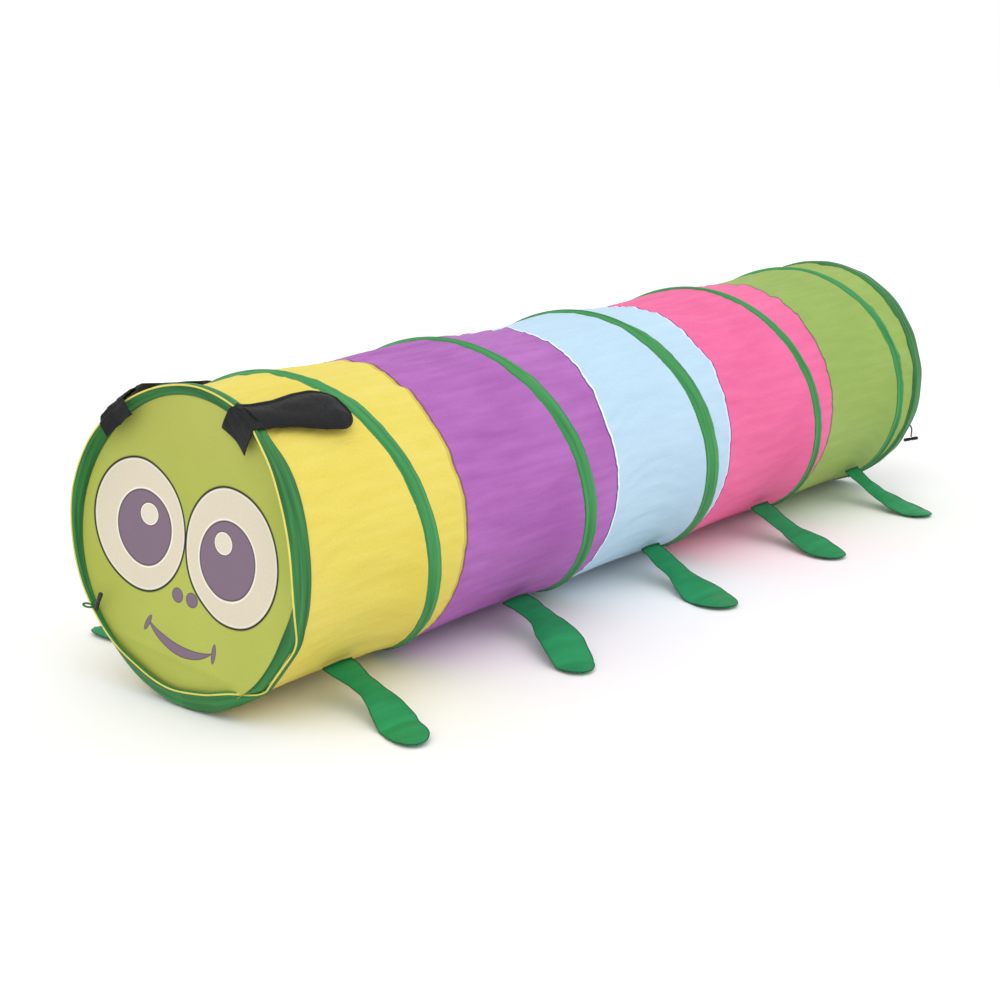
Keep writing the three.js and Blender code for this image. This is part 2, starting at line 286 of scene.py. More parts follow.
class Nodes:
    """A small wrapper that adds and links the nodes of one material."""

    def __init__(self, name, roughness, metallic=0.0, specular=0.5):
        self.material = bpy.data.materials.new(name)
        self.material.use_nodes = True
        self.tree = self.material.node_tree
        self.shader = self.tree.nodes["Principled BSDF"]
        self.shader.inputs["Roughness"].default_value = roughness
        self.shader.inputs["Metallic"].default_value = metallic
        self.shader.inputs["Specular IOR Level"].default_value = specular

    def add(self, kind, inputs=None, **settings):
        node = self.tree.nodes.new(kind)
        for key, value in settings.items():
            setattr(node, key, value)
        for key, value in (inputs or {}).items():
            if isinstance(value, bpy.types.NodeSocket):
                self.tree.links.new(value, node.inputs[key])
            else:
                node.inputs[key].default_value = value
        return node

    def math(self, operation, a, b=0.0):
        return self.add("ShaderNodeMath", {0: a, 1: b}, operation=operation).outputs[0]

    def noise(self, place, scale, detail=2.0):
        node = self.add("ShaderNodeTexNoise", {"Vector": place, "Scale": scale, "Detail": detail})
        return node.outputs["Fac"]

    def map(self, value, low, high, to_low, to_high):
        node = self.add("ShaderNodeMapRange", {0: value, 1: low, 2: high, 3: to_low, 4: to_high})
        return node.outputs[0]

    def blend(self, share, a, b, kind="MIX"):
        node = self.add("ShaderNodeMix", data_type="RGBA", blend_type=kind)
        for key, value in ((0, share), (6, a), (7, b)):
            if isinstance(value, bpy.types.NodeSocket):
                self.tree.links.new(value, node.inputs[key])
            else:
                node.inputs[key].default_value = value
        return node.outputs[2]

    def uv(self, scale=(1, 1, 1)):
        source = self.add("ShaderNodeTexCoord").outputs["UV"]
        return self.add("ShaderNodeMapping", {"Vector": source, "Scale": scale}).outputs[0]

    def colour(self, value):
        self.tree.links.new(value, self.shader.inputs["Base Color"])

    def rough(self, value):
        self.tree.links.new(value, self.shader.inputs["Roughness"])

    def bump(self, height, strength, distance=0.001):
        node = self.add("ShaderNodeBump", {"Height": height, "Strength": strength, "Distance": distance})
        self.tree.links.new(node.outputs[0], self.shader.inputs["Normal"])


def weave(n, threads_per_metre):
    """The height of a plain weave: two sets of threads crossing."""
    place = n.uv()
    bands = []
    for axis in ("X", "Y"):
        wave = n.add("ShaderNodeTexWave", {"Vector": place, "Scale": threads_per_metre / 20 * math.pi,
                                           "Distortion": 0.4, "Detail": 1.0},
                     wave_type="BANDS", bands_direction=axis)
        bands.append(wave.outputs["Fac"])
    return n.math("MULTIPLY", bands[0], bands[1])


CLOTH_THREADS, TAPE_THREADS = 900, 1100
UNEVEN = (0.5, 0.5, 0.5, 1.0)  # multiplied in faintly, so that no cloth is one flat colour


def taffeta(name, colour, shade, edges=(), roughness=0.6, specular=0.22):
    """Thin dyed cloth. edges is a list of (place along u, width, colour) strips at its seams."""
    n = Nodes(name, roughness, specular=specular)
    place = n.uv()
    broad = n.noise(place, 5.0, 3.0)
    streaks = n.noise(n.uv((4.0, 34.0, 1.0)), 1.6, 3.0)
    fine = n.noise(place, 240.0, 2.0)
    wander = n.math("ADD", n.math("MULTIPLY", broad, 0.55), n.math("MULTIPLY", streaks, 0.45))
    base = n.blend(n.map(wander, 0.36, 0.66, 0.0, 1.0), shade, colour)
    base = n.blend(n.map(fine, 0.35, 0.75, 0.0, 0.10), base, UNEVEN, "MULTIPLY")
    along = n.add("ShaderNodeSeparateXYZ", {0: place}).outputs[0]
    for at, width, strip in edges:
        inside = n.math("LESS_THAN", n.math("ABSOLUTE", n.math("SUBTRACT", along, at)), width / 2)
        base = n.blend(inside, base, strip)
    n.colour(base)
    n.rough(n.map(fine, 0.3, 0.7, roughness - 0.06, roughness + 0.08))
    crinkle = n.noise(n.uv((7.0, 46.0, 1.0)), 1.0, 4.0)
    height = n.math("ADD", weave(n, CLOTH_THREADS), n.math("MULTIPLY", fine, 0.5))
    n.bump(n.math("ADD", height, n.math("MULTIPLY", crinkle, 22.0)), 0.35, 0.00025)
    return n.material


# %% Fabric colours
LIGHT = {"yellow": (228, 212, 106), "purple": (180, 112, 188), "blue": (188, 217, 236),
         "pink": (238, 112, 162), "green": (152, 178, 92)}
SHADE = {"yellow": (222, 203, 84), "purple": (160, 88, 166), "blue": (179, 208, 229),
         "pink": (224, 96, 148), "green": (140, 167, 80)}
EDGES = {
    # strips along the seams: distance from the start, or from the end if negative; width; colour
    "yellow": [(-0.004, 0.008, (204, 184, 78)), (-0.001, 0.002, (150, 120, 90))],
    "purple": [(-0.0018, 0.0036, (104, 62, 150)), (0.001, 0.002, (130, 80, 120))],
    "blue": [(0.0022, 0.0045, (232, 243, 250)), (-0.0022, 0.0045, (226, 236, 248))],
    "pink": [(0.0014, 0.0028, (128, 70, 150)), (-0.0016, 0.0032, (128, 100, 110))],
    "green": [(0.001, 0.002, (110, 130, 80))],
}
section_cloth = {}
for i, colour in enumerate(COLOURS):
    length = SEAMS[i + 1] - SEAMS[i]
    strips = [(at % length, width, linear(*strip)) for at, width, strip in EDGES[colour]]
    section_cloth[colour] = taffeta(f"{colour}_taffeta", linear(*LIGHT[colour]),
                                    linear(*SHADE[colour]), strips)


# %% Tape, wire and the small materials
def tape(name, light, deep, width):
    """Binding tape with streaks along it, stitched close to both edges."""
    n = Nodes(name, 0.5, specular=0.35)
    place = n.uv()
    across, along = n.add("ShaderNodeSeparateXYZ", {0: place}).outputs[:2]
    edge, pitch = 0.0025, 0.0045
    streaks = n.noise(n.uv((140.0, 5.0, 1.0)), 1.0, 2.0)
    base = n.blend(n.map(streaks, 0.35, 0.65, 0.0, 1.0), deep, light)
    middle = n.math("ABSOLUTE", n.math("SUBTRACT", across, width / 2))
    from_thread = n.math("ABSOLUTE", n.math("SUBTRACT", middle, width / 2 - edge))
    thread = n.math("LESS_THAN", from_thread, 0.0004)
    wave = n.math("SINE", n.math("MULTIPLY", along, 2 * math.pi / pitch))
    stitch = n.math("MULTIPLY", thread, n.math("GREATER_THAN", wave, -0.3))
    base = n.blend(n.math("MULTIPLY", stitch, 0.7), base, linear(16, 84, 44))
    n.colour(base)
    threads = n.math("MULTIPLY", weave(n, TAPE_THREADS), 0.6)
    height = n.math("SUBTRACT", threads, n.math("MULTIPLY", thread, 1.2))
    n.bump(height, 0.5, 0.0004)
    return n.material


tapes = [tape(f"channel_tape_{i + 1}", linear(62, 150, 82), linear(36, 120, 58), w)
         for i, w in enumerate(CHANNEL_WIDTHS)]
rim_tape = tape("rim_tape", linear(52, 132, 66), linear(24, 92, 38), FRONT_TAPE)
metal = Nodes("spring_steel", 0.32, metallic=1.0)
metal.colour(metal.blend(metal.noise(metal.uv(), 90.0), linear(150, 152, 156), linear(196, 198, 202)))
metal.bump(metal.noise(metal.uv((1, 8, 1)), 300.0), 0.2, 0.0002)
steel = metal.material
piping_cloth = taffeta("yellow_piping_cloth", linear(233, 222, 120), linear(214, 198, 84))
leg_cloth = taffeta("leg_satin", linear(36, 154, 94), linear(22, 122, 72), roughness=0.5)
edging_cloth = taffeta("leg_edging", linear(18, 92, 58), linear(12, 78, 48))
black_nylon = taffeta("black_nylon", linear(20, 21, 24), linear(10, 11, 13),
                      roughness=0.55, specular=0.25)
black_piping = taffeta("black_piping_cloth", linear(50, 52, 58), linear(30, 31, 36),
                       roughness=0.42, specular=0.4)
plastic = Nodes("toggle_plastic", 0.38)
plastic.colour(plastic.blend(plastic.noise(plastic.uv(), 400.0), linear(18, 18, 18), linear(34, 34, 36)))
plastic.bump(plastic.noise(plastic.uv(), 900.0), 0.15, 0.0002)
toggle_plastic = plastic.material


def dress(piece, material):
    """Gives a piece its material."""
    piece.data.materials.clear()
    piece.data.materials.append(material)


# %% [markdown]
# ## Keyed lines round the front rim
#
# The hoop leans back a little at the top, and the hem in front of it is slack: it stands forward at
# the sides, it is pulled back to the hoop at the top, and at the bottom it has folded up into the
# opening. Keyed lines round the rim say where the hem starts, bends over the hoop and is sewn.

# %% Keyed lines round the hoop
RIM_KEYS = {
    # degrees above level on the near side, then millimetres from the front (x) and the axis (r):
    # back edge x, r; over the hoop x, r; front seam x, r; face r
    0: (40, 230.6, 25, 233.2, 2, 232, 221),
    10: (41.5, 230.6, 27, 233.4, 3, 232, 221),
    20: (45.5, 230.6, 30, 233.8, 6.5, 232, 221),
    30: (51, 230.6, 34, 234, 11.5, 232.5, 221),
    40: (54.5, 230.6, 38, 234.2, 20, 233, 221),
    50: (52, 230.6, 42, 234.4, 27, 233.5, 221),
    62: (58, 230.6, 50, 235, 42, 234, 221),
    90: (60, 230.6, 52, 235.5, 44, 235, 222),
    118: (56, 230.6, 44, 235.5, 30, 234.5, 222),
    140: (46, 230.6, 32, 234, 10, 232, 222),
    165: (41, 230.6, 26, 233, 1, 229, 222),
    200: (40, 230.6, 22, 232.5, 0, 226, 222),
    213: (37, 230.6, 18, 232.3, 0, 222, 222),
    228: (33, 230.6, 15, 232, 0, 217, 222),
    242: (28, 230.8, 12, 232, 0, 209, 222),
    262: (24, 231, 10, 231.8, 0, 208, 222),
    277: (22, 231, 9, 231.8, 0, 203.5, 222),
    294: (24, 231, 10, 231.8, 1, 207, 222),
    301: (30, 231, 18, 232.5, 8, 215, 222),
    307.5: (37, 231, 32, 234.4, 28, 235, 221),
    312: (32, 231, 27, 233, 22, 232.5, 220),
    320: (29, 231, 24, 232.5, 19, 231.5, 217),
    328: (31, 231, 26, 233, 21.5, 232, 215),
    335.5: (37, 230.6, 31, 235.5, 26, 236.5, 213),
    344: (40, 230.6, 25, 233.6, 14, 233, 216),
    352: (39.5, 230.6, 24, 233.2, 6, 232, 219),
}


def rim_lines(angle):
    """The seven keyed lengths in metres at each angle from the top, eased between the keys."""
    level = np.degrees(math.pi / 2 - angle) % 360
    keys = sorted(RIM_KEYS)
    table = np.array([RIM_KEYS[k] for k in keys]) * 0.001
    found = np.zeros(level.shape + (7,))
    for shift in (-4, -2, 0, 2, 4):
        at = (level + shift) % 360
        for column in range(7):
            found[..., column] += np.interp(at, keys, table[:, column], period=360) / 5
    return found


def face_plane(right, up):
    """Where the face is, from the front: it leans back with the hoop and bellies on the far side."""
    return 0.026 + 0.087 * up - 0.011 * np.clip((-right - 0.09) / 0.13, 0, 1) ** 2


# %% [markdown]
# ## The five sections
#
# Each section is a rolled sheet. Its seams wander by a few millimetres, because the cloth is pulled
# by the coil that crosses it at a slant, and both neighbours follow the same wandering line.


# %% Sections
def seam_shift(along, angle):
    """How far a point moves along the tunnel because the seam near it wanders."""
    around = np.stack([np.cos(angle), np.sin(angle), np.zeros_like(angle)], -1)
    shift = np.zeros_like(angle)
    for i, seam in enumerate(SEAMS[1:-1]):
        wave = rough(around, (1.6, 1.6, 1.0), 11.3 * (i + 1)) * 0.009
        wave = wave + rough(around, (7.0, 7.0, 1.0), 5.1 * (i + 1)) * 0.0022
        shift = shift + wave * np.exp(-((along - seam) / 0.05) ** 2)
    return shift


def packs(piece):
    """Gives the piece a mesh of its own."""
    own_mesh(piece)


AROUND = 288
UNDER_RIM, UNDER_REAR_RIM = 0.010, 0.011  # how far the end sections reach under the rims
for i, colour in enumerate(COLOURS):
    start, end = SEAMS[i], SEAMS[i + 1]
    hidden_end = end + UNDER_REAR_RIM if colour == COLOURS[-1] else end

    def place(u, v, start=start, end=hidden_end):
        angle = math.pi * (1 - 2 * v)
        if start == SEAMS[0]:
            start = rim_lines(angle)[..., 0] - UNDER_RIM
        along = start + (end - start) * u
        return on_tunnel(along + seam_shift(along, angle), angle, cloth_radius(along, angle))

    rows = int((end - start) / 0.0055)
    girth = 2 * math.pi * CLOTH_R
    section = sheet(f"{colour}_section_cloth", rows, AROUND, place, (end - start, girth), closed=True)
    thicken(section, CLOTH)
    dress(section, section_cloth[colour])
    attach(section, f"segment_{i + 1}")
    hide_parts(f"{colour}_section")
    packs(section)
    print(section.name, len(section.data.polygons), "faces")

# %% [markdown]
# ## The coil and its channels
#
# The spring wire climbs once round each section. A strip of green tape is sewn over it, flat at
# both edges and raised over the wire. The strip follows the cloth below it, and it looks narrower
# over the top, where the wire pulls it into a ridge.


# %% Coil and channels
def ridge_width(angle, width, pinch):
    """The tape is full width at the sides and pinched over the top."""
    from_top = np.clip((np.abs(angle + 0.1) - 0.1) / 0.6, 0, 1)
    return width * (pinch + (1 - pinch) * from_top)


for turn in range(len(COLOURS)):
    first = 0.155 if turn == 0 else 0.0
    last = 0.93 if turn == 4 else 1.0
    width = CHANNEL_WIDTHS[turn]

    def strip(u, v, turn=turn, first=first, last=last, width=width):
        part = first + (last - first) * v
        angle = -math.pi + 2 * math.pi * part
        wide = ridge_width(angle, width, 0.95 if turn == 0 else 0.5)
        around = np.stack([np.cos(angle), np.sin(angle), u * 0 + turn], -1)
        edge = rough(around, (14.0, 14.0, 1.0), 2.2) * 0.0012
        off = (u - 0.5) * (wide + edge)
        along = coil_at(turn + part) + off
        hump = 0.0034 * np.exp(-(off / 0.0042) ** 2) + 0.0007
        lift = np.where(np.abs(u - 0.5) > 0.49, 0.0, hump)
        return on_tunnel(along, angle, cloth_radius(along, angle) + lift)

    channel = sheet(f"coil_channel_cloth_{turn + 1}", 14, 300, strip,
                    (width, 2 * math.pi * CLOTH_R * (last - first)), flip=True)
    thicken(channel, CLOTH)
    dress(channel, tapes[turn])
    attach(channel, f"segment_{turn + 1}")
    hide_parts(f"coil_channel_{turn + 1}")
    packs(channel)

    parts = np.linspace(0.002, 0.998, 181)
    angles = -math.pi + 2 * math.pi * parts
    wire_line = on_tunnel(coil_at(turn + parts), angles, 0.2322)
    wire = tube_along(f"coil_wire_{turn + 1}", wire_line, WIRE_R, 6)
    dress(wire, steel)
    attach(wire, f"segment_{turn + 1}")
    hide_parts(f"coil_turn_{turn + 1}")
    packs(wire)

# %% [markdown]
# ## The front rim
#
# The rim's cloth is swept through points between its keyed lines: from the back edge over the hoop,
# forward to the seam, and back inside to the face.


# %% Front rim
def through(points, u):
    """A smooth path through rows of points, read at u from 0 to 1."""
    final = len(points) - 1
    i = np.clip(np.floor(u * final).astype(int), 0, final - 1)
    f = (u * final - i)[:, None]
    stack = np.array(points)
    columns = np.arange(len(u))
    a, b = stack[np.maximum(i - 1, 0), columns], stack[i, columns]
    c, d = stack[i + 1, columns], stack[np.minimum(i + 2, final), columns]
    return 0.5 * (2 * b + (c - a) * f + (2 * a - 5 * b + 4 * c - d) * f**2
                  + (3 * b - 3 * c + d - a) * f**3)


def rim_place(u, v):
    """The hem's section: back edge, over the hoop, forward to the seam, and back inside."""
    angle = math.pi * (1 - 2 * v)
    back_x, back_r, over_x, over_r, seam_x, seam_r, face_r = rim_lines(angle).T
    around = np.stack([np.cos(angle), np.sin(angle), 0 * angle], -1)
    ripple = rough(around, (9.0, 9.0, 1.0), 4.4) * 0.0016
    inside_x = face_plane(face_r * np.sin(angle), face_r * np.cos(angle)) - 0.0008
    points = [
        np.stack([back_x, back_r], -1),
        np.stack([over_x + 0.006, over_r - 0.0003], -1),
        np.stack([over_x - 0.004, over_r - 0.001], -1),
        np.stack([(over_x + seam_x) / 2 - 0.002, (over_r + seam_r) / 2 + 0.0015 + ripple], -1),
        np.stack([seam_x, seam_r], -1),
        np.stack([seam_x + 0.002, seam_r - 0.0022], -1),
        np.stack([(inside_x + seam_x) / 2, (face_r + seam_r) / 2 - 0.001 + ripple], -1),
        np.stack([inside_x, face_r - 0.001], -1),
    ]
    found = through(points, u)
    return on_tunnel(found[:, 0], angle, found[:, 1])


rim = sheet("front_rim_cloth", 40, 360, rim_place, (FRONT_TAPE, RIM_GIRTH), closed=True)
thicken(rim, DOUBLED)
dress(rim, rim_tape)
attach(rim, "front_end")
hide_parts("front_rim_binding")

# %% The front seam's piping and the front hoop
turn_angles = np.linspace(0, 2 * math.pi, 361)[:-1]
lines = rim_lines(turn_angles)
piping_line = on_tunnel(lines[:, 4] - 0.0006, turn_angles, lines[:, 5] + 0.0004)
piping = tube_along("front_seam_piping", np.vstack([piping_line, piping_line[:1]]), 0.0014, 8, closed=True)
dress(piping, piping_cloth)
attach(piping, "front_end")

hoop_line = on_tunnel(lines[:, 2] - 0.001, turn_angles, lines[:, 3] - 0.0045)
hoop = tube_along("front_hoop", np.vstack([hoop_line, hoop_line[:1]]), WIRE_R, 8, closed=True)
dress(hoop, steel)
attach(hoop, "front_end")
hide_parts("front_hoop_wire", "front_hoop_ferrule")

# %% [markdown]
# ## The rear rim
#
# The rear hoop is bound in the same tape, with no face and no slack hem.


# %% Rear rim
def rear_place(u, v):
    """The binding's section: its edge on the cloth, over the hoop, round the end and back inside."""
    angle = math.pi * (1 - 2 * v)
    around = np.stack([np.cos(angle), np.sin(angle), 0 * angle], -1)
    ripple = rough(around, (5.0, 5.0, 1.0), 8.8) * 0.0034
    # distance from the rear end, distance from the axis, and how much of the ripple it takes
    points = [(-0.037, 0.2308, 0), (-0.032, 0.2314, 0.1), (-0.0285, 0.2336, 0.3), (-0.0235, 0.2330, 0.4),
              (-0.010, 0.2318, 0.8), (-0.0015, 0.2300, 0.8), (-0.003, 0.2262, 0.8), (-0.016, 0.2262, 0.5),
              (-0.026, 0.2270, 0.2)]
    rows = [np.stack([LENGTH + x + 0 * angle, r + ripple * share], -1) for x, r, share in points]
    rows[0][:, 1] = cloth_radius(rows[0][:, 0], angle) + 0.0003
    found = through(rows, u)
    return on_tunnel(found[:, 0], angle, found[:, 1])


rear_rim = sheet("rear_rim_cloth", 32, 360, rear_place, (REAR_TAPE, RIM_GIRTH), closed=True, flip=True)
thicken(rear_rim, DOUBLED)
dress(rear_rim, rim_tape)
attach(rear_rim, "rear_end")
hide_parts("rear_rim_binding")

rear_line = on_tunnel(REAR_HOOP, turn_angles, 0.2308)
rear_hoop = tube_along("rear_hoop", np.vstack([rear_line, rear_line[:1]]), WIRE_R, 8, closed=True)
dress(rear_hoop, steel)
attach(rear_hoop, "rear_end")
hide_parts("rear_hoop_wire", "rear_hoop_ferrule")

# %% [markdown]
# ## The face
#
# The face is one printed disc of cloth. The print is flat colour, so it is drawn in the material
# from ovals, over the cloth's own UV map, which counts metres from the middle of the face.


# %% Face material
def oval(n, place, centre, half, tilt=0.0, soft=0.012):
    """1 inside an oval and 0 outside it. Lengths are in metres on the cloth."""
    mapped = n.add("ShaderNodeMapping", {"Vector": place, "Location": (*centre, 0),
                                         "Rotation": (0, 0, math.radians(tilt)),
                                         "Scale": (*half, 1)}, vector_type="TEXTURE")
    length = n.add("ShaderNodeVectorMath", {0: mapped.outputs[0]}, operation="LENGTH").outputs["Value"]
    return n.map(length, 1 + soft, 1 - soft, 0.0, 1.0)


def face_material():
    """The printed face: two eyes in layers of ovals, two nostrils and a smile, on green cloth."""
    n = Nodes("face_print", 0.62, specular=0.22)
    place = n.uv()
    broad = n.noise(place, 4.0, 3.0)
    fine = n.noise(place, 260.0, 2.0)
    base = n.blend(n.map(broad, 0.35, 0.65, 0.0, 1.0), linear(168, 176, 76), linear(178, 186, 86))
    # painted light: the face is blended towards a lighter, yellower green over its top
    up = n.add("ShaderNodeSeparateXYZ", {0: place}).outputs[1]
    base = n.blend(n.map(up, 0.06, 0.22, 0.0, 0.35), base, linear(182, 180, 96))
    white, rim, line = linear(218, 208, 186), linear(240, 235, 220), linear(16, 17, 12)
    pupil, pupil_line = linear(126, 106, 124), linear(86, 72, 78)
    # each eye: centre, half sizes and tilt of the white; centre and half sizes of the iris; glint
    eyes = [((-0.1025, 0.021), (0.0925, 0.0985), 32, (-0.094, 0.0175), (0.0575, 0.0565), (-0.083, 0.039)),
            ((0.088, 0.004), (0.0925, 0.100), 22, (0.081, -0.001), (0.0580, 0.0570), (0.071, 0.022))]
    for centre, half, tilt, iris, iris_half, glint in eyes:
        layers = [(centre, (half[0] + 0.0020, half[1] + 0.0020), line, tilt),
                  (centre, (half[0] - 0.0016, half[1] - 0.0016), rim, tilt),
                  (centre, (half[0] - 0.0036, half[1] - 0.0036), white, tilt),
                  (iris, (iris_half[0] + 0.0026, iris_half[1] + 0.0026), rim, 0),
                  (iris, iris_half, pupil_line, 0),
                  (iris, (iris_half[0] - 0.0022, iris_half[1] - 0.0022), pupil, 0),
                  (glint, (0.0198, 0.0176), pupil_line, 0),
                  (glint, (0.0184, 0.0162), rim, 0),
                  (glint, (0.0168, 0.0146), linear(222, 214, 196), 0)]
        for where, size, colour, turn in layers:
            base = n.blend(oval(n, place, where, size, turn), base, colour)
    for where in ((-0.0195, -0.069), (0.0105, -0.071)):
        base = n.blend(oval(n, place, where, (0.0118, 0.0112), 0, 0.06), base, pupil_line)
        base = n.blend(oval(n, place, where, (0.0106, 0.0100), 0, 0.06), base, pupil)
    lips = []
    for wider in (0.0012, 0.0):
        outer = oval(n, place, (-0.0083, -0.1000), (0.0770 + wider, 0.0570 + wider), -11, 0.008)
        inner = oval(n, place, (-0.0045, -0.0804), (0.1083 - wider, 0.0632 - wider), -11, 0.008)
        lip = n.math("MULTIPLY", outer, n.math("SUBTRACT", 1.0, inner))
        for where, tilt in (((-0.0810, -0.1210), -34), ((0.0560, -0.1410), -8)):
            tick = oval(n, place, where, (0.0034 + wider, 0.0140 + wider), tilt, 0.08)
            lip = n.math("MAXIMUM", lip, tick)
        lips.append(lip)
    base = n.blend(lips[0], base, pupil_line)
    base = n.blend(lips[1], base, pupil)
    base = n.blend(n.map(fine, 0.35, 0.75, 0.0, 0.10), base, UNEVEN, "MULTIPLY")
    n.colour(base)
    n.bump(n.math("ADD", weave(n, CLOTH_THREADS), n.math("MULTIPLY", fine, 0.5)), 0.35, 0.00025)
    return n.material


def face_place(u, v):
    """A grid squeezed into a disc, leaning back with the hoop, with a slack belly and folds."""
    x, y = 2 * u - 1, 2 * v - 1
    right, up = x * np.sqrt(1 - y * y / 2), y * np.sqrt(1 - x * x / 2)
    out = np.hypot(right, up)
    edge = rim_lines(np.arctan2(right, up))[..., 6]
    right, up = right * edge, up * edge
    depth = face_plane(right, up)
    spread = np.stack([right, up, 0 * up], -1)
    folds = rough(spread, (9.0, 5.0, 1.0), 6.1) * 0.0042 + rough(spread, (24.0, 12.0, 1.0), 1.9) * 0.0016
    sweep = np.abs(up + 0.165 + 0.10 * right)
    crease = -0.0020 * np.exp(-(sweep / 0.006) ** 2) * (np.abs(right) < 0.19)
    depth = depth + (folds + crease) * (1 - out**4)
    return np.stack([FRONT + depth, -right, AXIS_Z + up], -1)


face = sheet("face_cloth", 150, 150, face_place, (1, 1), flip=True)
layer = face.data.uv_layers.active
for loop, spot in zip(face.data.loops, layer.data):
    point = face.data.vertices[loop.vertex_index].co
    spot.uv = (-point.y, point.z - AXIS_Z)
thicken(face, CLOTH)
dress(face, face_material())
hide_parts("face_header", "face_flap")
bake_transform(face)

# %% [markdown]
# ## The feelers
#
# Each feeler is a padded paddle of black nylon with a corded edge. It is a closed lens of cloth
# whose sides are pinched at the cord. The near one lies along the rim, and the far one stands off it
# behind its strap. A strap carries on from each root, over the rim and down onto the face.

# %% Feelers and straps
FEELERS = {"near": 29.0, "far": -37.0}
DRIFTS = {"near": 0.13, "far": -0.10}
HUMPS = {"near": 0.0, "far": 0.019}  # how far each feeler stands off the rim, just behind its strap
HANGS = {"near": 0.037, "far": 0.025}  # how far each strap hangs down the face
FEELER_R, ROOT, TIP, PUFF = 0.2345, 0.048, 0.215, 0.005
STRAP_HALF, STRAP_LENGTH = 0.0295, 0.056


def on_paddle(angle, along, across, lift):
    """Points on the plane that touches the rim at an angle: along, across and away from it."""
    wrap = 0.5
    radius = FEELER_R + lift
    a = math.radians(angle) + wrap * across / radius
    flat = (1 - wrap) * across
    return np.stack([FRONT + along, -radius * np.sin(a) - flat * np.cos(a),
                     AXIS_Z + radius * np.cos(a) - flat * np.sin(a)], -1)


def paddle_half_width(t):
    """Half the paddle's width from root to tip: a narrow root and a round, wider end."""
    keys = np.interp(t, [0, 0.12, 0.35, 0.6, 0.78], [0.029, 0.027, 0.030, 0.040, 0.043])
    cap = np.sqrt(np.clip(1 - ((t - 0.78) / 0.22) ** 2, 0, 1))
    return np.where(t > 0.78, 0.043 * cap, keys)


for side, angle in FEELERS.items():
    def paddle(u, v, angle=angle, drift=DRIFTS[side], hump=HUMPS[side]):
        half = paddle_half_width(v) + 1e-5
        turn = u * 2 * math.pi
        across = half * np.cos(turn)
        along = ROOT + (TIP - ROOT) * v
        from_edge = np.minimum(half - np.abs(across), (1 - v) * (TIP - ROOT))
        puff = np.clip((from_edge - 0.0055) / 0.020, 0, 1)
        spread = np.stack([along, across, 0 * across + angle], -1)
        folds = rough(spread, (22.0, 50.0, 0.1), 7.7) * 0.0016 * puff
        cord = 0.0024 * np.exp(-((from_edge - 0.0045) / 0.0012) ** 2)
        up = 0.0010 + cord + PUFF * np.sin(puff * math.pi / 2) ** 0.8 + folds
        lift = 0.0004 + np.where(np.sin(turn) > 1e-3, up, 0)
        crumple = rough(spread, (30.0, 60.0, 0.1), 2.4) * 0.002 * np.exp(-v / 0.08)
        share = np.interp(v, [0, 0.06, 0.14, 0.3, 0.5, 0.75, 1], [0.55, 0.85, 1, 0.8, 0.45, 0.1, 0])
        lift = lift + np.abs(crumple) + 0.002 * v + hump * share
        return on_paddle(angle, along, across + drift * (along - ROOT), lift)

    feeler = sheet(f"feeler_pad_{side}", 120, 110, paddle, (0.18, TIP - ROOT), closed=True)
    face_outward(feeler, fill=True)
    dress(feeler, black_nylon)
    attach(feeler, f"feeler_{side}")
    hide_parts(f"feeler_{side}")

    def strap_place(u, v, angle=angle, hangs=HANGS[side], hump=HUMPS[side]):
        hang = np.clip((v - 0.45) / 0.55, 0, 1)
        waist = 1 - 0.12 * np.exp(-((v - 0.36) / 0.14) ** 2)
        across = (u - 0.5) * 2 * STRAP_HALF * (1.0 + 0.04 * hang) * waist
        seam_x, seam_r = rim_lines(math.radians(angle) + across / 0.235)[:, 4:6].T
        middle_x = rim_lines(np.array([math.radians(angle)]))[0, 4]
        seam_x = np.minimum(seam_x, 0.3 * seam_x + 0.7 * middle_x)
        same = 0 * across
        rows = [np.stack(pair, -1) for pair in (
            (same + 0.0500, same + 0.2372 + 0.6 * hump), (same + 0.0455, same + 0.2380 + 0.55 * hump),
            (seam_x + 0.0010, seam_r + 0.0024 + 0.3 * hump), (seam_x - 0.0032, seam_r + 0.0004),
            (seam_x - 0.0052, seam_r - 0.2 * hangs), (seam_x - 0.0050, seam_r - 0.6 * hangs),
            (seam_x - 0.0038, seam_r - hangs))]
        found = through(rows, v)
        spread = np.stack([v * 0.2, across, 0 * across + angle], -1)
        pleats = rough(spread, (10.0, 130.0, 1.0), 5.5) * 0.0020 * np.exp(-((v - 0.36) / 0.2) ** 2)
        wave = np.abs(rough(spread, (30.0, 36.0, 1.0), 5.5) * 0.0014 + pleats)
        return on_paddle(angle, found[:, 0] - wave, across, found[:, 1] + wave - FEELER_R)

    strap = sheet(f"feeler_strap_cloth_{side}", 34, 46, strap_place, (2 * STRAP_HALF, STRAP_LENGTH))
    thicken(strap, 0.0012, 0.0)
    dress(strap, black_nylon)
    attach(strap, "front_end")
    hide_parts(f"feeler_strap_{side}")

# %% [markdown]
# ## The legs
#
# A leg is two layers of green satin sewn together round the edge and turned, with very little
# inside. It hangs from its stitching, comes down to the floor and lies there.

